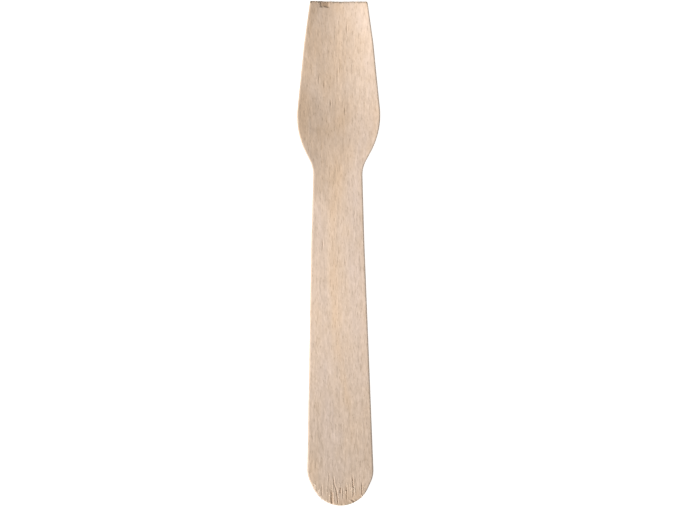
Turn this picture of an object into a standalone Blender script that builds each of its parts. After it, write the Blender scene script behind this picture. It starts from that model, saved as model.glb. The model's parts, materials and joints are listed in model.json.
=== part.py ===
"""Wooden ice cream spoon, built as the real one is made, from a single piece of birch veneer.

The blank is stamped out, its edges are rounded by tumbling, and a hot die presses the head
into a shallow bowl. It is one solid, in metres, with +Z up and +Y towards the cut tip. It
lies as it comes to rest with the bowl open upwards, so the floor of the bowl and the round
end of the handle touch the plane z = 0. The origin is the bottom centre of the bounding box.

Along is the distance from the cut tip and across is the place between the two edges, from
-1 to 1. While the spoon is built its tip is at y = 0 and its handle runs to -Y.
"""

import math

import bmesh
import bpy
from mathutils import Matrix, Vector

MM = 0.001

# The stamped blank.
LENGTH = 95.0 * MM
THICKNESS = 1.4 * MM
TIP_WIDTH = 10.8 * MM
TIP_SLANT = 0.15 * MM  # how much further the tip reaches at -X than at +X
TIP_SLANT_END = 6.0 * MM
FLANK_WIDTH = 13.05 * MM  # of the blunt corner that FLANK_RADIUS rounds off
FLANK_ALONG = 7.9 * MM
FLANK_RADIUS = 20.0 * MM
SHOULDER_WIDTH = 16.4 * MM  # of the sharp corner that SHOULDER_RADIUS rounds off
SHOULDER_ALONG = 24.45 * MM
SHOULDER_RADIUS = 14.9 * MM
NECK_WIDTH = 9.2 * MM  # of the sharp corner that NECK_RADIUS fills in
NECK_ALONG = 31.3 * MM
NECK_RADIUS = 5.7 * MM
HEEL_WIDTH = 12.58 * MM  # where the long taper of the handle ends
HEEL_ALONG = 89.3 * MM
HEEL_RADIUS = 5.0 * MM
END_RADIUS = 5.7 * MM
NECK_SHIFT = -0.18 * MM  # how far the neck lies off the head's axis
SHIFT_START = 20.0 * MM
SHIFT_END = 32.0 * MM
HANDLE_LEAN = 0.011  # slope of the handle's axis, towards +X
LEAN_START = 45.0 * MM
EDGE_RADIUS = 0.32 * MM  # tumbled edge, on both faces

# The press. Depths are measured down from the flat of the handle.
CREASE_ALONG = 39.8 * MM  # where the handle stops being flat, on the centre line
FLOOR_ALONG = 18.4 * MM  # where the ramp meets the floor of the bowl, on the centre line
RAMP_DROP = 1.85 * MM
RAMP_STRAIGHT = 0.35  # share of the ramp that is a plain slope, which leaves a crease at its ends
FOOT_DROP = 0.4 * MM  # the steeper foot of the ramp, on top of that
FOOT_LENGTH = 10.0 * MM
TIP_RISE = 0.3 * MM
FLOOR_ARC = 4.3 * MM  # how much nearer to the tip the ramp lies at the rims
TIP_CUP = 1.45 * MM  # height of the rims over the bottom of the bowl, at the tip
FLOOR_CUP = 0.6 * MM
CUP_FULL_ALONG = 23.5 * MM
CUP_END_ALONG = 34.0 * MM
TIP_ROUNDING = 1.5  # half width of the bowl's round bottom, across
FLOOR_ROUNDING = 0.35
VALLEY_ACROSS = 0.28  # how far the bottom of the bowl swings to the right on its way to the ramp

# How finely the solid is divided.
COLUMNS = 12
EDGE_SEGMENTS = 3
HEAD_ROW = 1.3 * MM
HANDLE_ROW = 8.0 * MM
FLANK_STEPS = 2
SHOULDER_STEPS = 7
NECK_STEPS = 5
HEEL_STEPS = 2
END_STEPS = 4
END_CORNER = math.radians(56)  # where the sides of the round end give way to its last row

REST_ROUNDS = 8
SMOOTH_ANGLE = math.radians(40)

WOOD_COLOUR = (0.69, 0.54, 0.42, 1.0)
WOOD_ROUGHNESS = 0.65


def smooth(share):
    """An S-curve from 0 to 1, level at both ends and beyond them."""
    share = min(max(share, 0.0), 1.0)
    return share * share * (3 - 2 * share)


def rounded(before, corner, after, radius, steps):
    """The points of the arc that rounds a corner."""
    back = (before - corner).normalized()
    ahead = (after - corner).normalized()
    half_angle = back.angle(ahead) / 2
    centre = corner + (back + ahead).normalized() * (radius / math.sin(half_angle))
    reach = radius / math.tan(half_angle)
    start = (corner + back * reach - centre).normalized()
    finish = (corner + ahead * reach - centre).normalized()
    return [centre + radius * start.slerp(finish, step / steps) for step in range(steps + 1)]


def end_arc(heel):
    """The side of the round end, from where a line from the heel touches it to the last row."""
    centre = Vector((0, LENGTH - END_RADIUS))
    reach = heel - centre
    start = math.acos(END_RADIUS / reach.length) + math.atan2(reach.y, reach.x)
    angles = [start + (END_CORNER - start) * step / END_STEPS for step in range(END_STEPS + 1)]
    return [centre + END_RADIUS * Vector((math.cos(a), math.sin(a))) for a in angles]


def side_outline():
    """One side of the blank as (half width, along) points, from the tip to the last row's corner."""
    tip = Vector((TIP_WIDTH / 2, 0))
    flank = Vector((FLANK_WIDTH / 2, FLANK_ALONG))
    shoulder = Vector((SHOULDER_WIDTH / 2, SHOULDER_ALONG))
    neck = Vector((NECK_WIDTH / 2, NECK_ALONG))
    heel = Vector((HEEL_WIDTH / 2, HEEL_ALONG))
    crease = neck.lerp(heel, (CREASE_ALONG - NECK_ALONG) / (HEEL_ALONG - NECK_ALONG))
    end = end_arc(heel)
    return [
        tip,
        *rounded(tip, flank, shoulder, FLANK_RADIUS, FLANK_STEPS),
        *rounded(flank, shoulder, neck, SHOULDER_RADIUS, SHOULDER_STEPS),
        *rounded(shoulder, neck, heel, NECK_RADIUS, NECK_STEPS),
        crease,
        *rounded(neck, heel, end[0], HEEL_RADIUS, HEEL_STEPS),
        *end,
    ]


def divided(side):
    """The same outline with more points on its straight runs, close together where the press bends it."""
    points = [side[0]]
    for point in side[1:]:
        start = points[-1]
        row = HEAD_ROW if point.y <= CREASE_ALONG else HANDLE_ROW
        steps = max(1, round((point.y - start.y) / row))
        points += [start.lerp(point, step / steps) for step in range(1, steps + 1)]
    return points


def half_width(along, side):
    """Half the width of the blank, read off its outline."""
    for near, far in zip(side, side[1:]):
        if along <= far.y:
            share = (along - near.y) / (far.y - near.y)
            return near.x + (far.x - near.x) * share
    return side[-1].x


def stamp(bm, side):
    """The flat blank, with its top face at z = 0, in rows across that the press can bend."""
    corner = side[-1]
    rows = []
    for half, along in side:
        bow = max(along - HEEL_ALONG, 0) / (corner.y - HEEL_ALONG)
        row = []
        for column in range(COLUMNS + 1):
            across = 2 * column / COLUMNS - 1
            arc = math.sqrt(END_RADIUS**2 - (corner.x * across) ** 2)
            rise = arc - math.sqrt(END_RADIUS**2 - corner.x**2)
            row.append(bm.verts.new((half * across, -along - bow * rise, 0)))
        rows.append(row)
    for upper, lower in zip(rows, rows[1:]):
        for column in range(COLUMNS):
            corners = upper[column], lower[column], lower[column + 1], upper[column + 1]
            bm.faces.new(corners)
    thick = bmesh.ops.extrude_face_region(bm, geom=bm.faces[:])
    below = [v for v in thick["geom"] if isinstance(v, bmesh.types.BMVert)]
    bmesh.ops.translate(bm, verts=below, vec=(0, 0, -THICKNESS))
    bmesh.ops.recalc_face_normals(bm, faces=bm.faces)


def tumble(bm):
    """Round the rims of both faces."""
    rims = [e for e in bm.edges if abs(sum(f.normal.z for f in e.link_faces)) > 0.5]
    rims = [e for e in rims if min(abs(f.normal.z) for f in e.link_faces) < 0.5]
    bmesh.ops.bevel(
        bm,
        geom=rims,
        offset=EDGE_RADIUS,
        segments=EDGE_SEGMENTS,
        profile=0.5,
        affect="EDGES",
    )


def line_depth(line):
    """Depth of the pressed head, apart from its cup. Line is where the ramp's own curve is read."""
    down = (CREASE_ALONG - line) / (CREASE_ALONG - FLOOR_ALONG)
    down = min(max(down, 0.0), 1.0)
    ramp = RAMP_STRAIGHT * down + (1 - RAMP_STRAIGHT) * smooth(down)
    foot = smooth(1 - (line - FLOOR_ALONG) / FOOT_LENGTH)
    rise = max(1 - line / FLOOR_ALONG, 0.0)
    return RAMP_DROP * ramp + FOOT_DROP * foot - TIP_RISE * rise**2


def cup_height(along):
    """Height of the rims over the bottom of the bowl."""
    if along < CUP_FULL_ALONG:
        return TIP_CUP + (FLOOR_CUP - TIP_CUP) * max(along, 0.0) / CUP_FULL_ALONG
    return FLOOR_CUP * smooth((CUP_END_ALONG - along) / (CUP_END_ALONG - CUP_FULL_ALONG))


def pressed(along, across):
    """How far the press moves the wood, upwards."""
    share = smooth(along / CUP_FULL_ALONG)
    rounding = TIP_ROUNDING + (FLOOR_ROUNDING - TIP_ROUNDING) * share
    rise = math.hypot(across - VALLEY_ACROSS * share, rounding) - rounding
    section = rise / (math.hypot(1.0, rounding) - rounding)
    return cup_height(along) * section - line_depth(along + FLOOR_ARC * across**2)


def drift(along):
    """How far the middle of the blank lies to +X of the head's axis."""
    shift = NECK_SHIFT * smooth((along - SHIFT_START) / (SHIFT_END - SHIFT_START))
    return shift + HANDLE_LEAN * max(along - LEAN_START, 0)


def press(bm, side):
    """Bend the head into its bowl, and move each place to where the stamping left it."""
    for vert in bm.verts:
        along = -vert.co.y
        across = vert.co.x / half_width(along, side)
        if along < CREASE_ALONG:
            vert.co.z += pressed(along, across)
        vert.co.x += drift(along)
        vert.co.y -= TIP_SLANT / 2 * across * smooth(1 - along / TIP_SLANT_END)


def lay_down(bm):
    """Tilt the spoon onto the two places it rests on, and put the origin under its middle."""
    head = [v for v in bm.verts if -v.co.y < CREASE_ALONG]
    handle = [v for v in bm.verts if -v.co.y >= CREASE_ALONG]
    for _ in range(REST_ROUNDS):
        bowl = min(head, key=lambda v: v.co.z).co
        end = min(handle, key=lambda v: v.co.z).co
        tilt = math.atan2(end.z - bowl.z, bowl.y - end.y)
        bmesh.ops.rotate(bm, verts=bm.verts, matrix=Matrix.Rotation(tilt, 3, "X"))
    lowest = Vector(min(v.co[axis] for v in bm.verts) for axis in range(3))
    highest = Vector(max(v.co[axis] for v in bm.verts) for axis in range(3))
    middle = (lowest + highest) / 2
    bmesh.ops.translate(bm, verts=bm.verts, vec=(-middle.x, -middle.y, -lowest.z))


def birch():
    """Pale, dry wood with no varnish."""
    material = bpy.data.materials.new("birch")
    material.use_nodes = True
    shader = material.node_tree.nodes["Principled BSDF"]
    shader.inputs["Base Color"].default_value = WOOD_COLOUR
    shader.inputs["Roughness"].default_value = WOOD_ROUGHNESS
    shader.inputs["Metallic"].default_value = 0.0
    return material


def spoon():
    """The whole spoon, from blank to bowl."""
    side = divided(side_outline())
    bm = bmesh.new()
    stamp(bm, side)
    tumble(bm)
    press(bm, side)
    lay_down(bm)
    mesh = bpy.data.meshes.new("spoon")
    bm.to_mesh(mesh)
    bm.free()
    mesh.shade_smooth()
    mesh.set_sharp_from_angle(angle=SMOOTH_ANGLE)
    mesh.materials.append(birch())
    piece = bpy.data.objects.new("spoon", mesh)
    bpy.context.collection.objects.link(piece)
    return piece


for old in list(bpy.data.objects):
    bpy.data.objects.remove(old)
spoon()
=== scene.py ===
"""Wooden ice cream spoon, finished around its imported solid.

The spoon is one piece of birch veneer. It is made here in the order of the real work: a
blank is stamped out, its rims are rounded by tumbling, its cut ends split and fray, and a
press bends the head into a shallow bowl. Then it is laid where the frame says, on the same
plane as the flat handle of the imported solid.

Everything is in metres. While the spoon is made, its cut tip is at y = 0 and its handle
runs to -Y with its front face at z = 0. "Along" is the distance from the cut tip, and
"across" is the place between the two sides, from -1 to 1.
"""

from __future__ import annotations

import json
import logging
import math
from dataclasses import dataclass, field
from enum import Enum

import bmesh
import bpy
import numpy as np
from mathutils import Matrix, Vector


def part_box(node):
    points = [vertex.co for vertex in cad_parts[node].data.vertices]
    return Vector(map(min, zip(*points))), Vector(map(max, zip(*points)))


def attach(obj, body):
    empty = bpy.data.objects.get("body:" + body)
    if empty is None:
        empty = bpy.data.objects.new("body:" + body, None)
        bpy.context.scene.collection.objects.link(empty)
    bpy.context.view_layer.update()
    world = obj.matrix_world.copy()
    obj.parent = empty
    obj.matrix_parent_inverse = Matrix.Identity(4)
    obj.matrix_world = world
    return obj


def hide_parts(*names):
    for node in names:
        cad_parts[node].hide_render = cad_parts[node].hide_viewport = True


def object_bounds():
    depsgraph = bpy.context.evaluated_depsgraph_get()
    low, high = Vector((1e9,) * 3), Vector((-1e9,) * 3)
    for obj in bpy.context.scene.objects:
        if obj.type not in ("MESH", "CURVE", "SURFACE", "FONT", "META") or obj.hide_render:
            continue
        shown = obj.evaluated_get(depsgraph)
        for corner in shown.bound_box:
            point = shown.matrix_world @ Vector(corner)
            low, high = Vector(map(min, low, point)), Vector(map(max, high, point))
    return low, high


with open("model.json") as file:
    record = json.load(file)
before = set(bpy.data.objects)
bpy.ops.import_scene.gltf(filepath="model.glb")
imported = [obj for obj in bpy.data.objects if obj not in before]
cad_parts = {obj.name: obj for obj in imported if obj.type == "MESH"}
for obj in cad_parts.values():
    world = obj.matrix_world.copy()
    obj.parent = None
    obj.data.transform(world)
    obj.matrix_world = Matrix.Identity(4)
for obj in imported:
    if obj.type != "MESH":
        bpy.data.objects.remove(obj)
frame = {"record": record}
CAD_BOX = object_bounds()

MM = 0.001
NODE = "spoon"
BODY = "root"

log = logging.getLogger("spoon")


# ---------------------------------------------------------------- node trees


@dataclass(frozen=True)
class Number:
    """A number that varies over a surface: an output socket that plain arithmetic works on."""

    tree: bpy.types.NodeTree
    socket: bpy.types.NodeSocket

    def calc(self, operation: str, *others: Number | float) -> Number:
        """Put a math node after this number.

        Args:
            operation: The math node's operation, such as "ADD".
            others: What its other inputs take.

        Returns:
            The result.
        """
        node = self.tree.nodes.new("ShaderNodeMath")
        node.operation = operation
        for socket, value in zip(node.inputs, (self, *others)):
            feed(socket, value)
        return Number(self.tree, node.outputs[0])

    def __add__(self, other: Number | float) -> Number:
        """The sum."""
        return self.calc("ADD", other)

    def __radd__(self, other: float) -> Number:
        """The sum, from the left."""
        return self.calc("ADD", other)

    def __sub__(self, other: Number | float) -> Number:
        """The difference."""
        return self.calc("SUBTRACT", other)

    def __rsub__(self, other: float) -> Number:
        """The difference, from the left."""
        return (self * -1) + other

    def __mul__(self, other: Number | float) -> Number:
        """The product."""
        return self.calc("MULTIPLY", other)

    def __rmul__(self, other: float) -> Number:
        """The product, from the left."""
        return self.calc("MULTIPLY", other)

    def __truediv__(self, other: Number | float) -> Number:
        """The quotient."""
        return self.calc("DIVIDE", other)

    def __neg__(self) -> Number:
        """The number with its sign turned."""
        return self * -1

    def squared(self) -> Number:
        """The number times itself."""
        return self * self

    def root(self) -> Number:
        """The square root."""
        return self.calc("SQRT")

    def ramp(self, low: Number | float, high: Number | float, smooth: bool = True) -> Number:
        """Go from 0 at low to 1 at high, and stay level beyond them.

        Args:
            low: Where the result leaves 0.
            high: Where it reaches 1.
            smooth: Whether the way between them is an S-curve.

        Returns:
            The share of the way, from 0 to 1.
        """
        node = self.tree.nodes.new("ShaderNodeMapRange")
        node.interpolation_type = "SMOOTHSTEP" if smooth else "LINEAR"
        for socket, value in zip(node.inputs, (self, low, high)):
            feed(socket, value)
        return Number(self.tree, node.outputs[0])

    def blend(self, start: Number | float, end: Number | float) -> Number:
        """Use this number as the share of the way from start to end."""
        return (end - start) * self + start


def feed(socket: bpy.types.NodeSocket, value: object) -> None:
    """Give an input its value, or wire it to where the value comes from.

    Args:
        socket: The input.
        value: A Number, an output socket, a number, or a tuple of numbers.
    """
    if isinstance(value, Number):
        value = value.socket
    if isinstance(value, bpy.types.NodeSocket):
        value.node.id_data.links.new(value, socket)
    else:
        socket.default_value = value


@dataclass(frozen=True)
class Bench:
    """A node tree being built."""

    tree: bpy.types.NodeTree

    def node(
        self,
        kind: str,
        inputs: dict[str, object] | None = None,
        settings: dict[str, object] | None = None,
    ) -> bpy.types.Node:
        """Add a node.

        Args:
            kind: Its type.
            inputs: What its inputs take, by name.
            settings: Its own settings, by name.

        Returns:
            The node.
        """
        made = self.tree.nodes.new(kind)
        for name, value in (settings or {}).items():
            setattr(made, name, value)
        for name, value in (inputs or {}).items():
            feed(made.inputs[name], value)
        return made

    def number(self, socket: bpy.types.NodeSocket) -> Number:
        """An output socket as a Number."""
        return Number(self.tree, socket)

    def attribute(self, name: str) -> Number:
        """A number that each point of the mesh carries, read in a material."""
        made = self.node("ShaderNodeAttribute", settings={"attribute_name": name})
        return self.number(made.outputs["Fac"])

    def parts(self, vector: bpy.types.NodeSocket) -> tuple[Number, Number, Number]:
        """The three parts of a vector."""
        made = self.node("ShaderNodeSeparateXYZ", {"Vector": vector})
        x, y, z = (self.number(socket) for socket in made.outputs)
        return x, y, z

    def point(self, *parts: Number | float) -> bpy.types.NodeSocket:
        """A vector made of three parts."""
        made = self.node("ShaderNodeCombineXYZ")
        for socket, value in zip(made.inputs, parts):
            feed(socket, value)
        return made.outputs[0]

    def noise(
        self,
        vector: bpy.types.NodeSocket,
        seed: Number | float,
        detail: float = 1.0,
        roughness: float = 0.5,
    ) -> Number:
        """Noise about as coarse as the vector's unit, mostly between 0.3 and 0.7.

        Args:
            vector: Where the noise is read.
            seed: Which noise of all.
            detail: How many finer layers it has.
            roughness: How strong those are.

        Returns:
            The noise.
        """
        given = {
            "Vector": vector,
            "W": seed,
            "Scale": 1.0,
            "Detail": detail,
            "Roughness": roughness,
        }
        made = self.node("ShaderNodeTexNoise", given, {"noise_dimensions": "4D"})
        return self.number(made.outputs[0])

    def mixed(
        self, share: Number | float, first: object, second: object, way: str = "MIX"
    ) -> bpy.types.NodeSocket:
        """Mix two colours.

        Args:
            share: How much of the second is used.
            first: A colour.
            second: Another.
            way: How they are mixed.

        Returns:
            The mixed colour.
        """
        made = self.node("ShaderNodeMix", settings={"data_type": "RGBA", "blend_type": way})
        feed(made.inputs[0], share)
        feed(made.inputs[6], first)
        feed(made.inputs[7], second)
        return made.outputs[2]


def new_group(
    name: str, kind: str, inputs: dict[str, float | None], outputs: dict[str, str]
) -> tuple[Bench, dict[str, object], bpy.types.Node]:
    """Start a node group.

    Args:
        name: Its name.
        kind: The type of tree.
        inputs: Each input's default, or None for a vector.
        outputs: Each output's socket type.

    Returns:
        The tree, its inputs by name, and its output node.
    """
    tree = bpy.data.node_groups.new(name, kind)
    for label, default in inputs.items():
        socket_type = "NodeSocketVector" if default is None else "NodeSocketFloat"
        socket = tree.interface.new_socket(label, in_out="INPUT", socket_type=socket_type)
        if default is not None:
            socket.default_value = default
    for label, socket_type in outputs.items():
        tree.interface.new_socket(label, in_out="OUTPUT", socket_type=socket_type)
    bench = Bench(tree)
    source = bench.node("NodeGroupInput")
    found = {
        label: source.outputs[label] if default is None else bench.number(source.outputs[label])
        for label, default in inputs.items()
    }
    return bench, found, bench.node("NodeGroupOutput")


# ------------------------------------------------------------------ finishes


class GrainNoise:
    """The noise that all birch finishes share: streaks drawn out along the fibres, which run along Y."""

    name = "along_the_grain"
    apart = 7.31  # so far apart do neighbouring lanes read the noise that they are alike in nothing
    layer = 900.0  # the same, downwards into the wood

    @classmethod
    def group(cls) -> bpy.types.NodeTree:
        """The node group, built once."""
        if cls.name in bpy.data.node_groups:
            return bpy.data.node_groups[cls.name]
        inputs = {
            "Vector": None,
            "Width": 0.3 * MM,
            "Length": 4.0 * MM,
            "Wander": 0.2 * MM,
            "Wander Length": 9.0 * MM,
            "Softness": 0.5,
            "Seed": 0.0,
        }
        bench, given, out = new_group(
            cls.name, "ShaderNodeTree", inputs, {"Streak": "NodeSocketFloat"}
        )
        x, y, z = bench.parts(given["Vector"])
        slow = bench.point(
            x / given["Wander Length"] * 3, y / given["Wander Length"], z / given["Wander Length"]
        )
        drift = (bench.noise(slow, given["Seed"] + 7.3) - 0.5) * given["Wander"] * 2
        lane = (x + drift) / given["Width"]
        number = lane.calc("FLOOR")
        along = y / given["Length"]
        here, beside = (
            bench.noise(bench.point(cls.apart * place, along, cls.layer * z), given["Seed"], 1.5)
            for place in (number, number + 1)
        )
        over = (lane - number).ramp(1 - given["Softness"], 1.0)
        feed(out.inputs["Streak"], (over.blend(here, beside) - 0.5) * 2)
        return bench.tree


@dataclass(frozen=True)
class Streaks:
    """One layer of the grain."""

    width: float
    length: float
    wander: float = 0.0
    wander_length: float = 10.0 * MM
    softness: float = 0.5
    seed: float = 0.0

    def place(self, bench: Bench, vector: bpy.types.NodeSocket) -> Number:
        """Add the layer to a material.

        Args:
            bench: The material's tree.
            vector: Object coordinates.

        Returns:
            The layer's value, about -0.4 to 0.4.
        """
        node = bench.node("ShaderNodeGroup", settings={"node_tree": GrainNoise.group()})
        given = {
            "Vector": vector,
            "Width": self.width,
            "Length": self.length,
            "Wander": self.wander,
            "Wander Length": self.wander_length,
            "Softness": self.softness,
            "Seed": self.seed,
        }
        for name, value in given.items():
            feed(node.inputs[name], value)
        return bench.number(node.outputs["Streak"])


@dataclass(frozen=True)
class BirchFinish:
    """Dry, unvarnished birch: pale face grain with warm and cool figure, and darker cut edges."""

    name: str = "birch"
    face: tuple[float, float, float, float] = (0.585, 0.445, 0.338, 1.0)
    warm: tuple[float, float, float, float] = (1.035, 0.985, 0.90, 1.0)
    cool: tuple[float, float, float, float] = (0.97, 1.00, 1.085, 1.0)
    stain: tuple[float, float, float, float] = (0.40, 0.265, 0.165, 1.0)
    shade_in_split: tuple[float, float, float, float] = (0.36, 0.235, 0.145, 1.0)
    cut_edge: tuple[float, float, float, float] = (0.49, 0.395, 0.315, 1.0)
    cut_fibres: tuple[float, float, float, float] = (0.27, 0.22, 0.15, 1.0)
    roughness: float = 0.58
    bump_depth: float = 0.03 * MM
    # painted shade: how much darker the colour grows towards the handle's end
    handle_shade: float = 0.24
    figure: Streaks = Streaks(1.7 * MM, 30 * MM, 0.5 * MM, 25 * MM, 1.0, seed=2.0)
    patches: Streaks = Streaks(1.9 * MM, 6.5 * MM, 0.4 * MM, 12 * MM, 1.0, seed=5.0)
    lines: Streaks = Streaks(0.3 * MM, 9.0 * MM, 0.12 * MM, 12 * MM, 0.5, seed=6.0)
    streaks: Streaks = Streaks(0.4 * MM, 2.2 * MM, 0.1 * MM, 9 * MM, 0.6, seed=1.0)
    fibres: Streaks = Streaks(0.21 * MM, 0.95 * MM, 0.06 * MM, 7 * MM, 0.5, seed=3.0)
    vessels: Streaks = Streaks(0.17 * MM, 1.3 * MM, 0.08 * MM, 8 * MM, 0.3, seed=4.0)

    def material(self) -> bpy.types.Material:
        """Build the material."""
        made = bpy.data.materials.new(self.name)
        made.use_nodes = True
        bench = Bench(made.node_tree)
        shader = made.node_tree.nodes["Principled BSDF"]
        place = bench.node("ShaderNodeTexCoord").outputs["Object"]
        y = bench.parts(place)[1]
        figure = self.figure.place(bench, place)
        patches = self.patches.place(bench, place)
        lines = self.lines.place(bench, place)
        streaks = self.streaks.place(bench, place)
        fibres = self.fibres.place(bench, place)
        vessels = self.vessels.place(bench, place)
        pores = vessels.ramp(0.16, 0.34)
        sheen = (-vessels).ramp(0.2, 0.4)

        tone = 1 + figure * 0.06 + lines * 0.09 + streaks * 0.15 + fibres * 0.21
        tone = tone - pores * 0.12 + sheen * 0.08
        # painted shade: the colour darkens from y = -4 mm to y = -48 mm, towards the handle's end
        tone = tone - (-y).ramp(0.004, 0.048) * self.handle_shade
        colour = bench.mixed(1.0, self.face, bench.point(tone, tone, tone), "MULTIPLY")
        warmth = bench.attribute("warmth") + patches * 1.2 + lines * 0.3
        warmth = warmth - streaks * 0.5 - fibres * 0.3 + pores * 0.4
        for tint, share in ((self.warm, warmth), (self.cool, -warmth)):
            tinted = bench.mixed(1.0, colour, tint, "MULTIPLY")
            colour = bench.mixed(share.ramp(0.0, 1.0, smooth=False), colour, tinted)
        colour = bench.mixed(bench.attribute("rim") * 0.4, colour, self.cut_edge)
        broken = (streaks + fibres + vessels).ramp(-0.25, 0.3)
        colour = bench.mixed(bench.attribute("cut") * broken, colour, self.cut_fibres)
        colour = bench.mixed(bench.attribute("stain"), colour, self.stain)
        colour = bench.mixed(bench.attribute("split"), colour, self.shade_in_split)
        feed(shader.inputs["Base Color"], colour)
        feed(shader.inputs["Roughness"], self.roughness + streaks * 0.15 + pores * 0.1)
        height = fibres * 0.55 + streaks * 0.5 - pores * 0.45 + sheen * 0.2
        bump = bench.node(
            "ShaderNodeBump",
            {"Height": height, "Distance": self.bump_depth, "Strength": 1.0},
        )
        feed(shader.inputs["Normal"], bump.outputs["Normal"])
        return made


@dataclass(frozen=True)
class FrayedFinish:
    """Loose birch fibres, which are paler and rougher than the pressed face."""

    name: str = "birch_fibre"
    pale: tuple[float, float, float, float] = (0.66, 0.53, 0.41, 1.0)
    dull: tuple[float, float, float, float] = (0.45, 0.34, 0.24, 1.0)
    roughness: float = 0.75
    strands: Streaks = Streaks(0.12 * MM, 0.8 * MM, seed=9.0)

    def material(self) -> bpy.types.Material:
        """Build the material."""
        made = bpy.data.materials.new(self.name)
        made.use_nodes = True
        bench = Bench(made.node_tree)
        shader = made.node_tree.nodes["Principled BSDF"]
        place = bench.node("ShaderNodeTexCoord").outputs["Object"]
        strands = self.strands.place(bench, place)
        feed(
            shader.inputs["Base Color"], bench.mixed(strands.ramp(0.0, 0.35), self.pale, self.dull)
        )
        feed(shader.inputs["Roughness"], self.roughness + strands * 0.2)
        return made


@dataclass(frozen=True)
class LightTableFinish:
    """White translucent acrylic, lit from below."""

    name: str = "light_table"
    surface: tuple[float, float, float, float] = (0.35, 0.35, 0.35, 1.0)
    white: tuple[float, float, float, float] = (1.0, 1.0, 1.0, 1.0)
    roughness: float = 0.6
    glow: float = 0.9

    def material(self) -> bpy.types.Material:
        """Build the material."""
        made = bpy.data.materials.new(self.name)
        made.use_nodes = True
        shader = made.node_tree.nodes["Principled BSDF"]
        shader.inputs["Base Color"].default_value = self.surface
        shader.inputs["Roughness"].default_value = self.roughness
        shader.inputs["Emission Color"].default_value = self.white
        shader.inputs["Emission Strength"].default_value = self.glow
        return made


# --------------------------------------------------------------------- blank


@dataclass(frozen=True)
class Split:
    """A crack along the fibres, whose lips stand up a little."""

    x: float
    start: float
    end: float
    slant: float = 0.0
    bow: float = 0.0
    width: float = 0.10 * MM
    depth: float = 0.18 * MM
    darkness: float = 0.8
    lip: float = 0.25

    def at(self, x: np.ndarray, along: np.ndarray) -> tuple[np.ndarray, np.ndarray]:
        """What the crack does to the front face.

        Args:
            x: Places across.
            along: Places along.

        Returns:
            How far each point rises, and how dark it is from 0 to 1.
        """
        share = (along - self.start) / (self.end - self.start)
        centre = self.x + self.slant * share + self.bow * 4 * share * (1 - share)
        inside = np.clip(np.minimum(share * 4, (1 - share) * 6), 0, 1)
        aside = (x - centre) / self.width
        groove = inside * np.exp(-(aside**2))
        lips = inside * (np.exp(-((aside - 2) ** 2)) + np.exp(-((aside + 2) ** 2)))
        return self.depth * (self.lip * lips - groove), self.darkness * groove


@dataclass(frozen=True)
class Tint:
    """A long soft patch of colour: of warm or cool wood, or of a stain."""

    x: float
    along: float
    half_width: float
    half_length: float
    strength: float
    lean: float = 0.0

    def at(self, x: np.ndarray, along: np.ndarray) -> np.ndarray:
        """What the patch adds.

        Args:
            x: Places across.
            along: Places along.

        Returns:
            The strength, from 0 to 1 for a stain, and from -1 for the coolest wood to 1.
        """
        ahead = along - self.along
        aside = (x - self.x - self.lean * ahead) / self.half_width
        return self.strength * np.exp(-(aside**2) - (ahead / self.half_length) ** 2)


@dataclass(frozen=True)
class FibreEnds:
    """The ragged line in which a cutter leaves the ends of the fibres that it crosses."""

    pitch: float = 0.2 * MM
    reach: float = 12.0 * MM
    seed: int = 1

    def at(self, x: np.ndarray) -> np.ndarray:
        """How far each fibre ends before or behind the cut, from -1 to 1.

        Args:
            x: Places across.
        """
        places = np.arange(-self.reach, self.reach, self.pitch)
        ends = np.random.default_rng(self.seed).uniform(-1, 1, len(places))
        return np.interp(x, places, ends)


@dataclass(frozen=True)
class TornPatch:
    """A place at the cut tip where the cutter tore the face fibres out."""

    left: float = -3.55 * MM
    right: float = -1.75 * MM
    length: float = 1.15 * MM
    depth: float = 0.16 * MM
    raggedness: float = 0.14 * MM
    edge: float = 0.15 * MM
    fibres: FibreEnds = FibreEnds(0.4 * MM, seed=5)

    def at(self, x: np.ndarray, along: np.ndarray) -> np.ndarray:
        """How far into the patch each point lies, from 0 to 1.

        Args:
            x: Places across.
            along: Places along.
        """
        side = np.clip(np.minimum(x - self.left, self.right - x) / self.edge, 0, 1)
        foot = self.length + self.raggedness * self.fibres.at(x)
        return side * np.clip((foot - along) / self.edge, 0, 1)


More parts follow.
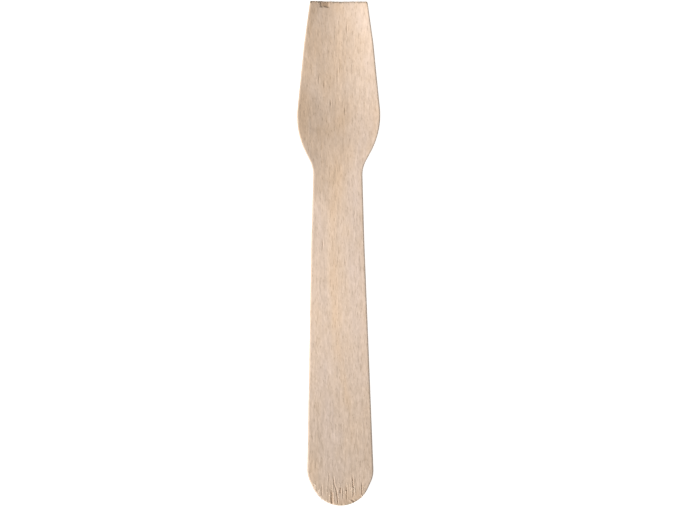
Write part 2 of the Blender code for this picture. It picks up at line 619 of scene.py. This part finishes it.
@dataclass
class StampedBlank:
    """The flat blank, cut from a sheet and tumbled. Corners named here are rounded by their radius."""

    length: float = 95.0 * MM
    thickness: float = 1.4 * MM
    tip_width: float = 10.8 * MM
    tip_slant: float = 0.15 * MM
    tip_slant_end: float = 6.0 * MM
    flank: tuple[float, float, float] = (13.05 * MM, 7.9 * MM, 20.0 * MM)
    shoulder: tuple[float, float, float] = (16.4 * MM, 24.45 * MM, 14.9 * MM)
    neck: tuple[float, float, float] = (9.2 * MM, 31.3 * MM, 5.7 * MM)
    heel: tuple[float, float, float] = (12.58 * MM, 89.3 * MM, 5.0 * MM)
    end_radius: float = 5.7 * MM
    end_corner: float = math.radians(56)
    edge_radius: float = 0.32 * MM
    rim_steps: int = 6
    wall_steps: int = 4
    columns: int = 126
    row: float = 0.4 * MM
    fine_row: float = 0.1 * MM
    fine_tip: float = 2.0 * MM
    fine_end: float = 5.2 * MM
    tip_wear: float = 0.35 * MM
    end_wear: float = 0.45 * MM
    tip_rag: float = 0.05 * MM
    tip_chip: float = 0.12 * MM
    front_ends: FibreEnds = FibreEnds(0.3 * MM, seed=2)
    back_ends: FibreEnds = FibreEnds(seed=3)
    chipped_ends: FibreEnds = FibreEnds(0.26 * MM, seed=4)
    torn_patch: TornPatch = TornPatch()

    def rounded(self, before: Vector, corner: Vector, after: Vector, radius: float) -> list[Vector]:
        """The arc that rounds a corner of the outline, as points a degree or two apart."""
        back = (before - corner).normalized()
        ahead = (after - corner).normalized()
        half_angle = back.angle(ahead) / 2
        centre = corner + (back + ahead).normalized() * (radius / math.sin(half_angle))
        reach = radius / math.tan(half_angle)
        start = (corner + back * reach - centre).normalized()
        finish = (corner + ahead * reach - centre).normalized()
        steps = max(4, round(math.degrees(start.angle(finish)) / 2))
        return [centre + radius * start.slerp(finish, step / steps) for step in range(steps + 1)]

    def side(self) -> np.ndarray:
        """One side of the outline, from the tip to the corner of the last row.

        Returns:
            Rows of half width and distance along.
        """
        tip = Vector((self.tip_width / 2, 0))
        flank, shoulder, neck, heel = (
            Vector((corner[0] / 2, corner[1]))
            for corner in (self.flank, self.shoulder, self.neck, self.heel)
        )
        centre = Vector((0, self.length - self.end_radius))
        reach = heel - centre
        start = math.acos(self.end_radius / reach.length) + math.atan2(reach.y, reach.x)
        angles = np.linspace(start, self.end_corner, 30)
        end = [centre + self.end_radius * Vector((math.cos(a), math.sin(a))) for a in angles]
        points = [
            tip,
            *self.rounded(tip, flank, shoulder, self.flank[2]),
            *self.rounded(flank, shoulder, neck, self.shoulder[2]),
            *self.rounded(shoulder, neck, heel, self.neck[2]),
            *self.rounded(neck, heel, end[0], self.heel[2]),
            *end,
        ]
        return np.array([tuple(point) for point in points])

    def rows(self) -> np.ndarray:
        """Where the rows across start at the sides: close together at both ends."""
        last = self.side()[-1, 1]
        spans = (
            (self.edge_radius, self.fine_tip, self.fine_row),
            (self.fine_tip, self.length - self.fine_end, self.row),
            (self.length - self.fine_end, last, self.fine_row),
        )
        pieces = [
            np.linspace(low, high, math.ceil((high - low) / step), endpoint=False)
            for low, high, step in spans
        ]
        return np.append(np.concatenate(pieces), last)

    def half_width(self, along: np.ndarray) -> np.ndarray:
        """Half the width at each distance along, which is never nothing, even at the round end."""
        side = self.side()
        corner = side[-1]
        widths = np.interp(along, side[:, 1], side[:, 0])
        past = np.clip((along - (self.length - self.end_radius)) / self.end_radius, 0, 0.98)
        on_arc = self.end_radius * np.sqrt(1 - past**2)
        return np.where(along > corner[1], on_arc, widths)

    def plan(self) -> np.ndarray:
        """The grid of both faces, seen from above and held in from the outline by the edge radius.

        Returns:
            An array of rows, columns and (x, along).
        """
        along = self.rows()
        side = self.side()
        half = np.interp(along, side[:, 1], side[:, 0])
        slope = np.gradient(half, along)
        slope[0] = slope[1]
        normal = np.stack([np.ones_like(slope), -slope], axis=1)
        normal /= np.linalg.norm(normal, axis=1)[:, None]
        inner = np.stack([half, along], axis=1) - normal * self.edge_radius
        inner[:, 1] = np.maximum(inner[:, 1], self.edge_radius)
        inner[0] = (half[0] - self.edge_radius, self.edge_radius)
        across = np.linspace(-1, 1, self.columns + 1)
        radius = self.end_radius - self.edge_radius
        corner = inner[-1, 0]
        rise = np.sqrt(radius**2 - (corner * across) ** 2) - math.sqrt(radius**2 - corner**2)
        bow = np.clip((inner[:, 1] - self.heel[1]) / (inner[-1, 1] - self.heel[1]), 0, 1)
        x = inner[:, :1] * across[None, :]
        s = inner[:, 1:] + bow[:, None] * rise[None, :]
        return np.stack([x, s], axis=2)

    def loop(self, rows: int, columns: int) -> np.ndarray:
        """The numbers of the grid's border points, in order round it, seen from above.

        Args:
            rows: Rows of the grid.
            columns: Columns of the grid.

        Returns:
            Point numbers, which don't repeat.
        """
        left = [row * columns for row in range(rows)]
        bottom = [(rows - 1) * columns + column for column in range(1, columns)]
        right = [row * columns + columns - 1 for row in range(rows - 2, -1, -1)]
        top = list(range(columns - 2, 0, -1))
        return np.array(left + bottom + right + top)

    def section(self) -> list[tuple[float, float]]:
        """The rounded rims and the wall between them, from the front face to the back.

        Returns:
            Pairs of how far out the rim has come, from 0 to 1, and its height.
        """
        bends = np.linspace(0, math.pi / 2, self.rim_steps + 1)[1:]
        front = [(math.sin(bend), self.edge_radius * (math.cos(bend) - 1)) for bend in bends]
        heights = np.linspace(-self.edge_radius, self.edge_radius - self.thickness, self.wall_steps + 1)
        wall = [(1.0, height) for height in heights[1:]]
        back = [(out, -self.thickness - drop) for out, drop in front[-2::-1]]
        return front + wall + back

    def solid(self) -> tuple[np.ndarray, np.ndarray, np.ndarray]:
        """The tumbled blank as one closed form.

        Returns:
            Its points as (x, along, height), how far each lies out on the rim, and its faces.
        """
        grid = self.plan()
        rows, columns = grid.shape[:2]
        flat = grid.reshape(-1, 2)
        border = self.loop(rows, columns)
        edge = flat[border]
        ahead = np.roll(edge, -1, axis=0) - edge
        ahead /= np.linalg.norm(ahead, axis=1)[:, None]
        turn = ahead + np.roll(ahead, 1, axis=0)
        turn /= np.linalg.norm(turn, axis=1)[:, None]
        outward = np.stack([-turn[:, 1], turn[:, 0]], axis=1)
        outward *= np.sign((outward[:, 0] * edge[:, 0]).sum())

        section = self.section()
        points = [np.column_stack([flat, np.zeros(len(flat))])]
        rims = [np.zeros(len(flat))]
        for out, height in section:
            ring = edge + outward * self.edge_radius * out
            points.append(np.column_stack([ring, np.full(len(ring), height)]))
            rims.append(np.full(len(ring), out))
        points.append(np.column_stack([flat, np.full(len(flat), -self.thickness)]))
        rims.append(np.zeros(len(flat)))

        count = len(border)
        back_start = len(flat) + count * len(section)
        rings = [border]
        rings += [len(flat) + count * k + np.arange(count) for k in range(len(section))]
        rings.append(back_start + border)
        walls = [
            np.stack([a, b, np.roll(b, -1), np.roll(a, -1)], axis=1)
            for a, b in zip(rings, rings[1:])
        ]
        quad = np.arange(rows * columns).reshape(rows, columns)
        corners = [quad[:-1, :-1], quad[1:, :-1], quad[1:, 1:], quad[:-1, 1:]]
        front = np.stack(corners, axis=-1).reshape(-1, 4)
        back = (front + back_start)[:, ::-1]
        return np.concatenate(points), np.concatenate(rims), np.concatenate([front, *walls, back])

    def cut_distance(self, x: np.ndarray, along: np.ndarray) -> np.ndarray:
        """How far each point lies from where the cutter crossed the fibres, at either end.

        Args:
            x: Places across.
            along: Places along.
        """
        past = np.maximum(along - (self.length - self.end_radius), 0)
        radial = np.maximum(np.hypot(x, past), self.edge_radius)
        from_arc = self.end_radius - radial + self.end_radius * (1 - past / radial) ** 2
        return np.minimum(np.maximum(along, 0), np.maximum(from_arc, 0))

    def build(self, splits: list[Split], tints: list[Tint], stains: list[Tint]) -> bpy.types.Mesh:
        """The blank as a closed mesh, which carries what its finish and the press need at its points.

        Args:
            splits: The cracks in its front.
            tints: The warm and cool patches of its wood.
            stains: The brown patches at its cut ends.

        Returns:
            The mesh.
        """
        points, rim, faces = self.solid()
        x, along, z = points.T
        in_front = np.clip(1 + z / self.thickness * 1.4, 0, 1)
        worn = np.where(along > self.length / 2, self.end_wear, self.tip_wear)
        near_tip = np.exp(-((along / (2 * self.tip_wear)) ** 2))
        cut = np.exp(-((self.cut_distance(x, along) / worn) ** 2))
        cut *= 1 - near_tip * (0.2 + 0.3 * x / self.half_width(along))
        torn = self.torn_patch.at(x, along) * in_front
        cracks = [split.at(x, along) for split in splits]
        rise = sum(rise for rise, _ in cracks) * in_front
        dark = np.clip(sum(dark for _, dark in cracks), 0, 1) * in_front
        soaked = sum(stain.at(x, along) for stain in stains) * in_front
        soaked *= 1 + 0.5 * self.front_ends.at(x)
        numbers = {
            "across": x / self.half_width(along),
            "rim": rim,
            "cut": cut,
            "split": dark,
            "stain": np.clip(torn * (0.5 + 0.3 * self.chipped_ends.at(x)) + soaked, 0, 1),
            "warmth": sum(tint.at(x, along) for tint in tints),
            "front": (z > -self.edge_radius / 2) * 1.0,
        }
        ends = in_front * self.front_ends.at(x) + (1 - in_front) * self.back_ends.at(x)
        chips = np.maximum(self.chipped_ends.at(x), 0) * cut * in_front
        z = z + rise - self.tip_chip * chips - self.torn_patch.depth * torn
        slant = np.clip(1 - along / self.tip_slant_end, 0, 1)
        slant = self.tip_slant / 2 * x / self.half_width(along) * slant**2 * (3 - 2 * slant)
        along = along + self.tip_rag * ends * near_tip + slant
        mesh = bpy.data.meshes.new("blank")
        mesh.from_pydata(np.column_stack([x, -along, z]), [], faces)
        for name, values in numbers.items():
            attribute = mesh.attributes.new(name, "FLOAT", "POINT")
            attribute.data.foreach_set("value", values.astype(np.float32))
        mesh.validate()
        return mesh


# ------------------------------------------------------------ geometry trees


def new_tree(name: str, sizes: dict[str, float]) -> tuple[Bench, dict[str, Number], Number]:
    """Start a geometry tree with named sizes.

    Args:
        name: Its name.
        sizes: Each size's default.

    Returns:
        The tree, its sizes by name, and the geometry that goes in.
    """
    tree = bpy.data.node_groups.new(name, "GeometryNodeTree")
    tree.interface.new_socket("Geometry", in_out="INPUT", socket_type="NodeSocketGeometry")
    tree.interface.new_socket("Geometry", in_out="OUTPUT", socket_type="NodeSocketGeometry")
    for label, value in sizes.items():
        socket = tree.interface.new_socket(label, in_out="INPUT", socket_type="NodeSocketFloat")
        socket.default_value = value
    bench = Bench(tree)
    source = bench.node("NodeGroupInput")
    found = {label: bench.number(source.outputs[label]) for label in sizes}
    return bench, found, bench.number(source.outputs["Geometry"])


def end_tree(bench: Bench, geometry: bpy.types.NodeSocket, material: bpy.types.Material) -> None:
    """End a geometry tree: make what it holds real and give it its material.

    Args:
        bench: The tree.
        geometry: What it made.
        material: What that is made of.
    """
    real = bench.node("GeometryNodeRealizeInstances", {"Geometry": geometry})
    dressed = bench.node(
        "GeometryNodeSetMaterial", {"Geometry": real.outputs[0], "Material": material}
    )
    feed(bench.node("NodeGroupOutput").inputs["Geometry"], dressed.outputs[0])


def labels(sizes: object) -> dict[str, float]:
    """The number fields of a dataclass by the names that they have in its tree."""
    return {
        name.replace("_", " ").capitalize(): float(value)
        for name, value in vars(sizes).items()
        if isinstance(value, (int, float))
    }


def run_tree(piece: bpy.types.Object, tree: bpy.types.NodeTree, sizes: dict[str, float]) -> None:
    """Run a geometry tree on a piece and keep the result as its plain mesh.

    Args:
        piece: The piece.
        tree: The tree.
        sizes: What its named inputs are set to.
    """
    run = piece.modifiers.new(tree.name, "NODES")
    run.node_group = tree
    sockets = {item.name: item.identifier for item in tree.interface.items_tree}
    for name, value in sizes.items():
        run[sockets[name]] = value
    shown = piece.evaluated_get(bpy.context.evaluated_depsgraph_get())
    mesh = bpy.data.meshes.new_from_object(shown)
    piece.modifiers.remove(run)
    old = piece.data
    piece.data = mesh
    if not old.users:
        bpy.data.meshes.remove(old)


class CutEnd(Enum):
    """An end of the spoon. Its value is the way that the fibres stand out of it, along Y."""

    TIP = 1
    ROUND = -1


@dataclass(frozen=True)
class TornFibres:
    """Slivers that the cutter left standing at one end, thinned to a point."""

    end: CutEnd
    from_along: float
    to_along: float
    chance: float
    length: float
    width: float
    pitch: float = math.radians(5)
    yaw: float = math.radians(4)
    sink: float = 0.03 * MM
    seed: int = 11

    def tree(self, material: bpy.types.Material) -> bpy.types.NodeTree:
        """Build the tree that sets slivers on a share of the front's points.

        Args:
            material: What the slivers are made of.

        Returns:
            The tree.
        """
        bench, size, blank = new_tree(f"torn_fibres_{self.end.name.lower()}", labels(self))
        place = bench.node("GeometryNodeInputPosition").outputs[0]
        along = -bench.parts(place)[1]
        stored = bench.node("GeometryNodeInputNamedAttribute", {"Name": "front"})
        front = bench.number(stored.outputs["Attribute"])
        inside = along.calc("GREATER_THAN", size["From along"])
        inside = inside * along.calc("LESS_THAN", size["To along"]) * front
        seed = size["Seed"]

        def random(offset: int, low: float, high: float) -> Number:
            """A number that differs from point to point."""
            given = {"Min": low, "Max": high, "Seed": seed + offset}
            made = bench.node("FunctionNodeRandomValue")
            feed(made.inputs[2], low)
            feed(made.inputs[3], high)
            feed(made.inputs["Seed"], given["Seed"])
            return bench.number(made.outputs[1])

        chosen = random(0, 0.0, 1.0).calc("LESS_THAN", size["Chance"]) * inside
        sliver = bench.node(
            "GeometryNodeMeshCone",
            {
                "Vertices": 4,
                "Side Segments": 2,
                "Radius Top": size["Width"] * 0.1,
                "Radius Bottom": size["Width"] / 2,
                "Depth": size["Length"],
            },
        )
        lift = size["Pitch"] * random(1, 0.0, 1.0)
        turn = bench.point(
            (math.pi / 2 - lift) * -self.end.value, 0.0, size["Yaw"] * random(2, -1.0, 1.0)
        )
        rotation = bench.node("FunctionNodeEulerToRotation", {"Euler": turn})
        scale = bench.point(random(3, 0.6, 1.3), random(4, 0.6, 1.3), random(5, 0.35, 1.2))
        planted = bench.node(
            "GeometryNodeInstanceOnPoints",
            {
                "Points": blank,
                "Selection": chosen,
                "Instance": sliver.outputs["Mesh"],
                "Rotation": rotation.outputs[0],
                "Scale": scale,
            },
        )
        sunk = bench.node(
            "GeometryNodeTranslateInstances",
            {"Instances": planted.outputs[0], "Translation": bench.point(0.0, 0.0, -size["Sink"])},
        )
        end_tree(bench, sunk.outputs[0], material)
        return bench.tree


@dataclass(frozen=True)
class Press:
    """The hot die that bends the head into its bowl, and the raised grain that damp leaves in it."""

    crease: float = 39.8 * MM
    floor: float = 18.4 * MM
    ramp_drop: float = 1.85 * MM
    ramp_straight: float = 0.35
    foot_drop: float = 0.4 * MM
    foot_length: float = 10.0 * MM
    tip_rise: float = 0.3 * MM
    floor_arc: float = 4.3 * MM
    tip_cup: float = 1.45 * MM
    floor_cup: float = 0.6 * MM
    cup_full: float = 23.5 * MM
    cup_end: float = 34.0 * MM
    tip_rounding: float = 1.5
    floor_rounding: float = 0.35
    valley_across: float = 0.28
    neck_shift: float = -0.18 * MM
    shift_start: float = 20.0 * MM
    shift_end: float = 32.0 * MM
    handle_lean: float = 0.011
    lean_start: float = 45.0 * MM
    wave_height: float = 0.02 * MM
    wave_width: float = 1.3 * MM
    wave_length: float = 9.0 * MM
    grain_height: float = 0.008 * MM
    grain_width: float = 0.4 * MM
    grain_length: float = 2.2 * MM

    def tree(self, material: bpy.types.Material) -> bpy.types.NodeTree:
        """Build the geometry tree.

        Args:
            material: What the pressed piece is made of.

        Returns:
            The tree.
        """
        bench, size, blank = new_tree("press", labels(self))
        place = bench.node("GeometryNodeInputPosition").outputs[0]
        x, y, z = bench.parts(place)
        stored = bench.node("GeometryNodeInputNamedAttribute", {"Name": "across"})
        across = bench.number(stored.outputs["Attribute"])
        along = -y
        line = along + size["Floor arc"] * across.squared()

        to_floor = (size["Crease"] - line) / (size["Crease"] - size["Floor"])
        straight = size["Ramp straight"]
        ramp = to_floor.ramp(0.0, 1.0, smooth=False) * straight
        ramp = ramp + to_floor.ramp(0.0, 1.0) * (1 - straight)
        foot = (1 - (line - size["Floor"]) / size["Foot length"]).ramp(0.0, 1.0)
        rise = (1 - line / size["Floor"]).calc("MAXIMUM", 0.0)
        depth = size["Ramp drop"] * ramp + size["Foot drop"] * foot
        depth = depth - size["Tip rise"] * rise.squared()

        near = (along / size["Cup full"]).ramp(0.0, 1.0, smooth=False)
        past = (size["Cup end"] - along) / (size["Cup end"] - size["Cup full"])
        cup = near.blend(size["Tip cup"], size["Floor cup"]) * past.ramp(0.0, 1.0)
        share = (along / size["Cup full"]).ramp(0.0, 1.0)
        rounding = share.blend(size["Tip rounding"], size["Floor rounding"])
        aside = across - size["Valley across"] * share
        section = (aside.squared() + rounding.squared()).root() - rounding
        section = section / ((rounding.squared() + 1).root() - rounding)
        height = cup * section - depth

        wave_place = bench.point(x / size["Wave width"], y / size["Wave length"], 0.0)
        wave = (bench.noise(wave_place, 1.0) - 0.5) * size["Wave height"] * 2
        grain_place = bench.point(
            x / size["Grain width"], y / size["Grain length"], z / size["Wave width"]
        )
        grain = (bench.noise(grain_place, 2.0) - 0.5) * size["Grain height"] * 2
        shift = along.ramp(size["Shift start"], size["Shift end"]) * size["Neck shift"]
        leaning = (along - size["Lean start"]).calc("MAXIMUM", 0.0)
        shift = shift + leaning * size["Handle lean"]
        offset = bench.point(shift, 0.0, height + wave + grain)
        moved = bench.node("GeometryNodeSetPosition", {"Geometry": blank, "Offset": offset})
        end_tree(bench, moved.outputs[0], material)
        return bench.tree


# --------------------------------------------------------------------- spoon


@dataclass
class Spoon:
    """The whole spoon, from blank to bowl."""

    blank: StampedBlank = field(default_factory=StampedBlank)
    press: Press = field(default_factory=Press)
    finish: BirchFinish = field(default_factory=BirchFinish)
    frayed: FrayedFinish = field(default_factory=FrayedFinish)
    splits: list[Split] = field(
        default_factory=lambda: [
            # in the round end, from left to right
            Split(-3.5 * MM, 90.6 * MM, 93.2 * MM, width=0.08 * MM, depth=0.07 * MM, darkness=0.3),
            Split(-2.1 * MM, 88.2 * MM, 90.6 * MM, width=0.08 * MM, depth=0.07 * MM, darkness=0.35),
            Split(-1.6 * MM, 91.9 * MM, 94.8 * MM, width=0.17 * MM, depth=0.15 * MM, darkness=0.75),
            Split(-1.3 * MM, 89.4 * MM, 91.6 * MM, slant=0.25 * MM, depth=0.1 * MM, darkness=0.5),
            Split(-1.0 * MM, 91.0 * MM, 94.7 * MM, slant=0.5 * MM, bow=0.1 * MM, depth=0.12 * MM, darkness=0.6),
            Split(-0.02 * MM, 91.3 * MM, 92.7 * MM, width=0.12 * MM, depth=0.16 * MM, darkness=0.75),
            Split(0.5 * MM, 91.6 * MM, 93.8 * MM, width=0.08 * MM, depth=0.1 * MM, darkness=0.35),
            Split(1.15 * MM, 90.9 * MM, 93.9 * MM, width=0.09 * MM, depth=0.12 * MM, darkness=0.5),
            Split(2.24 * MM, 88.9 * MM, 93.2 * MM, slant=0.32 * MM, depth=0.14 * MM, darkness=0.65),
            Split(2.0 * MM, 93.7 * MM, 94.6 * MM, slant=1.1 * MM, width=0.22 * MM, depth=0.12 * MM, lip=0.7),
            Split(4.1 * MM, 90.4 * MM, 93.0 * MM, width=0.11 * MM, depth=0.1 * MM, darkness=0.35),
            # short checks in the face of the head and the handle
            Split(1.55 * MM, 4.2 * MM, 5.9 * MM, width=0.09 * MM, depth=0.1 * MM, darkness=0.25),
            Split(-0.2 * MM, 11.5 * MM, 16.0 * MM, width=0.09 * MM, depth=0.06 * MM, darkness=0.2),
            Split(-3.7 * MM, 13.8 * MM, 15.4 * MM, width=0.09 * MM, depth=0.08 * MM, darkness=0.3),
            Split(-2.7 * MM, 14.6 * MM, 16.4 * MM, width=0.09 * MM, depth=0.07 * MM, darkness=0.3),
            Split(-1.5 * MM, 18.4 * MM, 19.4 * MM, width=0.1 * MM, depth=0.1 * MM, darkness=0.4),
            Split(1.2 * MM, 20.0 * MM, 21.3 * MM, width=0.1 * MM, depth=0.09 * MM, darkness=0.4),
            Split(-2.8 * MM, 44.8 * MM, 46.4 * MM, width=0.1 * MM, depth=0.08 * MM, darkness=0.35),
            Split(1.4 * MM, 48.5 * MM, 49.6 * MM, width=0.1 * MM, depth=0.08 * MM, darkness=0.35),
        ]
    )
    tints: list[Tint] = field(
        default_factory=lambda: [
            # the head: warm all over, most at the left shoulder and up the ramp
            Tint(-1.5 * MM, 4 * MM, 6 * MM, 15 * MM, 0.45),
            Tint(-5.4 * MM, 5 * MM, 0.9 * MM, 6 * MM, 0.5),
            Tint(-6.8 * MM, 21.5 * MM, 1.4 * MM, 5 * MM, 1.1),
            Tint(-1.5 * MM, 26 * MM, 3 * MM, 5 * MM, 0.5),
            Tint(0.9 * MM, 22.5 * MM, 0.9 * MM, 4 * MM, 0.5),
            Tint(4.6 * MM, 23 * MM, 1.8 * MM, 6 * MM, -0.35),
            Tint(-1.1 * MM, 34 * MM, 1.9 * MM, 5 * MM, 0.65),
            # a warm line that wanders to the right down the handle, cool on both sides
            Tint(-0.9 * MM, 45 * MM, 0.9 * MM, 10 * MM, 0.75),
            Tint(-0.7 * MM, 59 * MM, 0.8 * MM, 8 * MM, 0.7, lean=0.03),
            Tint(1.2 * MM, 73 * MM, 0.6 * MM, 8 * MM, 0.6, lean=0.15),
            Tint(3.3 * MM, 36 * MM, 1.2 * MM, 8 * MM, -0.7),
            Tint(3.0 * MM, 54 * MM, 1.8 * MM, 11 * MM, -0.75),
            Tint(-3.4 * MM, 42 * MM, 1.0 * MM, 6 * MM, -0.3),
            Tint(-3.2 * MM, 64 * MM, 1.6 * MM, 8 * MM, -0.3),
            Tint(-2.4 * MM, 77 * MM, 1.8 * MM, 8 * MM, -0.75),
            Tint(-0.6 * MM, 86 * MM, 1.6 * MM, 4 * MM, -0.4),
            Tint(3.6 * MM, 81 * MM, 1.3 * MM, 7 * MM, 0.4),
            Tint(-5.4 * MM, 88.5 * MM, 1.0 * MM, 3.5 * MM, 0.9),
            Tint(2.0 * MM, 93 * MM, 2.6 * MM, 1.6 * MM, 0.5),
        ]
    )
    stains: list[Tint] = field(
        default_factory=lambda: [
            Tint(-1.5 * MM, 93.6 * MM, 0.35 * MM, 1.1 * MM, 0.4),
            Tint(-0.2 * MM, 94.6 * MM, 1.5 * MM, 0.8 * MM, 0.35),
            Tint(1.9 * MM, 94.2 * MM, 1.3 * MM, 0.5 * MM, 0.4),
            Tint(3.6 * MM, 93.2 * MM, 0.8 * MM, 0.4 * MM, 0.2),
            Tint(-2.65 * MM, 0.6 * MM, 1.2 * MM, 0.7 * MM, 0.25),
            Tint(-4.5 * MM, 0.3 * MM, 0.9 * MM, 0.6 * MM, 0.2),
            Tint(5.15 * MM, 0.3 * MM, 0.2 * MM, 0.3 * MM, 0.6),
        ]
    )
    torn: tuple[TornFibres, ...] = (
        TornFibres(CutEnd.TIP, 0.1 * MM, 0.45 * MM, 0.05, 0.42 * MM, 0.1 * MM),
        TornFibres(
            CutEnd.ROUND,
            90.4 * MM,
            93.2 * MM,
            chance=0.007,
            length=1.7 * MM,
            width=0.15 * MM,
            pitch=math.radians(2.5),
            sink=0.04 * MM,
            seed=12,
        ),
    )

    def resting_place(self, mesh: bpy.types.Mesh) -> Matrix:
        """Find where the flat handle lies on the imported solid's handle face.

        Args:
            mesh: The spoon as it left the press.

        Returns:
            The turn and move that bring it there.
        """
        mounts = {mount["name"]: mount for mount in frame["record"]["mounts"]}
        face = mounts["handle_face"]
        normal = Vector(face["axis"]).normalized()
        seat = Vector(face["pos_m"])
        turn = Matrix.Rotation(math.atan2(-normal.y, normal.z), 4, "X")
        places = np.empty(len(mesh.vertices) * 3)
        mesh.vertices.foreach_get("co", places)
        turned = places.reshape(-1, 3) @ np.array(turn.to_3x3()).T
        low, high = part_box(NODE)
        y = high.y - turned[:, 1].max()
        z = seat.z + (seat.y - y) * normal.y / normal.z
        return Matrix.Translation((0, y, z)) @ turn

    def piece(self, name: str, mesh: bpy.types.Mesh) -> bpy.types.Object:
        """A new object in the scene.

        Args:
            name: Its name.
            mesh: Its mesh.

        Returns:
            The object.
        """
        made = bpy.data.objects.new(name, mesh)
        bpy.context.collection.objects.link(made)
        return made

    def make(self) -> list[bpy.types.Object]:
        """Build, dress and place the spoon and the slivers at its ends.

        Returns:
            The pieces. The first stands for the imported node.
        """
        blank = self.blank.build(self.splits, self.tints, self.stains)
        wood = self.finish.material()
        loose = self.frayed.material()
        pieces = [self.piece("birch_spoon", blank)]
        for fibres in self.torn:
            slivers = self.piece(f"torn_fibres_{fibres.end.name.lower()}", blank.copy())
            run_tree(slivers, fibres.tree(loose), labels(fibres))
            pieces.append(slivers)
        for made, material in zip(pieces, (wood, loose, loose)):
            run_tree(made, self.press.tree(material), labels(self.press))
        placing = self.resting_place(pieces[0].data)
        for made in pieces:
            made.data.transform(placing)
            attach(made, BODY)
            log.info("%s: %d faces", made.name, len(made.data.polygons))
        pieces[0].data.shade_smooth()
        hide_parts(NODE)
        return pieces


# -------------------------------------------------------------------- studio


@dataclass(frozen=True)
class Lamp:
    """A square soft box that points at the middle of the spoon."""

    name: str
    direction: tuple[float, float, float]
    distance: float
    size: float
    power: float

    def make(self, target: Vector) -> bpy.types.Object:
        """Place the lamp.

        Args:
            target: What it points at.

        Returns:
            The light.
        """
        light = bpy.data.lights.new(self.name, "AREA")
        light.size = self.size
        light.energy = self.power
        lamp = bpy.data.objects.new(self.name, light)
        towards = Vector(self.direction).normalized()
        lamp.location = target + towards * self.distance
        lamp.rotation_euler = towards.to_track_quat("Z", "Y").to_euler()
        bpy.context.collection.objects.link(lamp)
        return lamp


@dataclass
class Studio:
    """A light table seen from straight above, with a soft box low on the left and a pale room."""

    image_width: int = 677
    image_height: int = 508
    field_height: float = 95.68 * MM
    lens: float = 110.0
    sensor: float = 36.0
    floor_size: float = 6.0
    gap_below: float = 0.02 * MM
    aim: tuple[float, float] = (-0.035 * MM, -0.07 * MM)
    room: tuple[float, float, float, float] = (1.0, 1.0, 1.0, 1.0)
    room_strength: float = 0.42
    key: Lamp = Lamp("key", (-0.64, -0.54, 0.55), 0.9, 0.4, 13.0)
    table: LightTableFinish = field(default_factory=LightTableFinish)

    def camera(self, target: Vector) -> None:
        """Hang the camera straight over the target, with +Y up in its picture.

        Args:
            target: The middle of the view.
        """
        data = bpy.data.cameras.new("camera")
        data.sensor_width = self.sensor
        data.lens = self.lens
        view_width = self.field_height * self.image_width / self.image_height
        distance = view_width * self.lens / self.sensor
        data.clip_start = distance / 100
        data.clip_end = distance * 100
        camera = bpy.data.objects.new("camera", data)
        camera.location = target + Vector((0, 0, distance))
        bpy.context.collection.objects.link(camera)
        bpy.context.scene.camera = camera

    def floor(self, level: float) -> bpy.types.Object:
        """Lay the light table's top just under the spoon.

        Args:
            level: The height that the spoon lies at.

        Returns:
            The floor.
        """
        mesh = bpy.data.meshes.new("light_table")
        bm = bmesh.new()
        bmesh.ops.create_grid(bm, x_segments=1, y_segments=1, size=self.floor_size / 2)
        bm.to_mesh(mesh)
        bm.free()
        mesh.transform(Matrix.Translation((0, 0, level - self.gap_below)))
        mesh.materials.append(self.table.material())
        made = bpy.data.objects.new("light_table", mesh)
        bpy.context.collection.objects.link(made)
        return made

    def light(self, target: Vector) -> None:
        """Light the room and hang the lamp.

        Args:
            target: What the lamp points at.
        """
        world = bpy.data.worlds.new("room")
        world.use_nodes = True
        background = world.node_tree.nodes["Background"]
        background.inputs["Color"].default_value = self.room
        background.inputs["Strength"].default_value = self.room_strength
        bpy.context.scene.world = world
        self.key.make(target)

    def make(self) -> None:
        """Set up the floor, the light, the colours and the camera."""
        low, high = CAD_BOX
        middle = (low + high) / 2
        self.floor(low.z)
        self.light(middle)
        self.camera(middle + Vector((*self.aim, 0)))
        bpy.context.scene.view_settings.view_transform = "Standard"
        log.info("camera over %s", tuple(round(part, 4) for part in middle))


def main() -> None:
    """Make the spoon, then the studio around it."""
    logging.basicConfig(level=logging.INFO, format="%(name)s: %(message)s")
    Spoon().make()
    Studio().make()


if __name__ == "__main__":
    main()
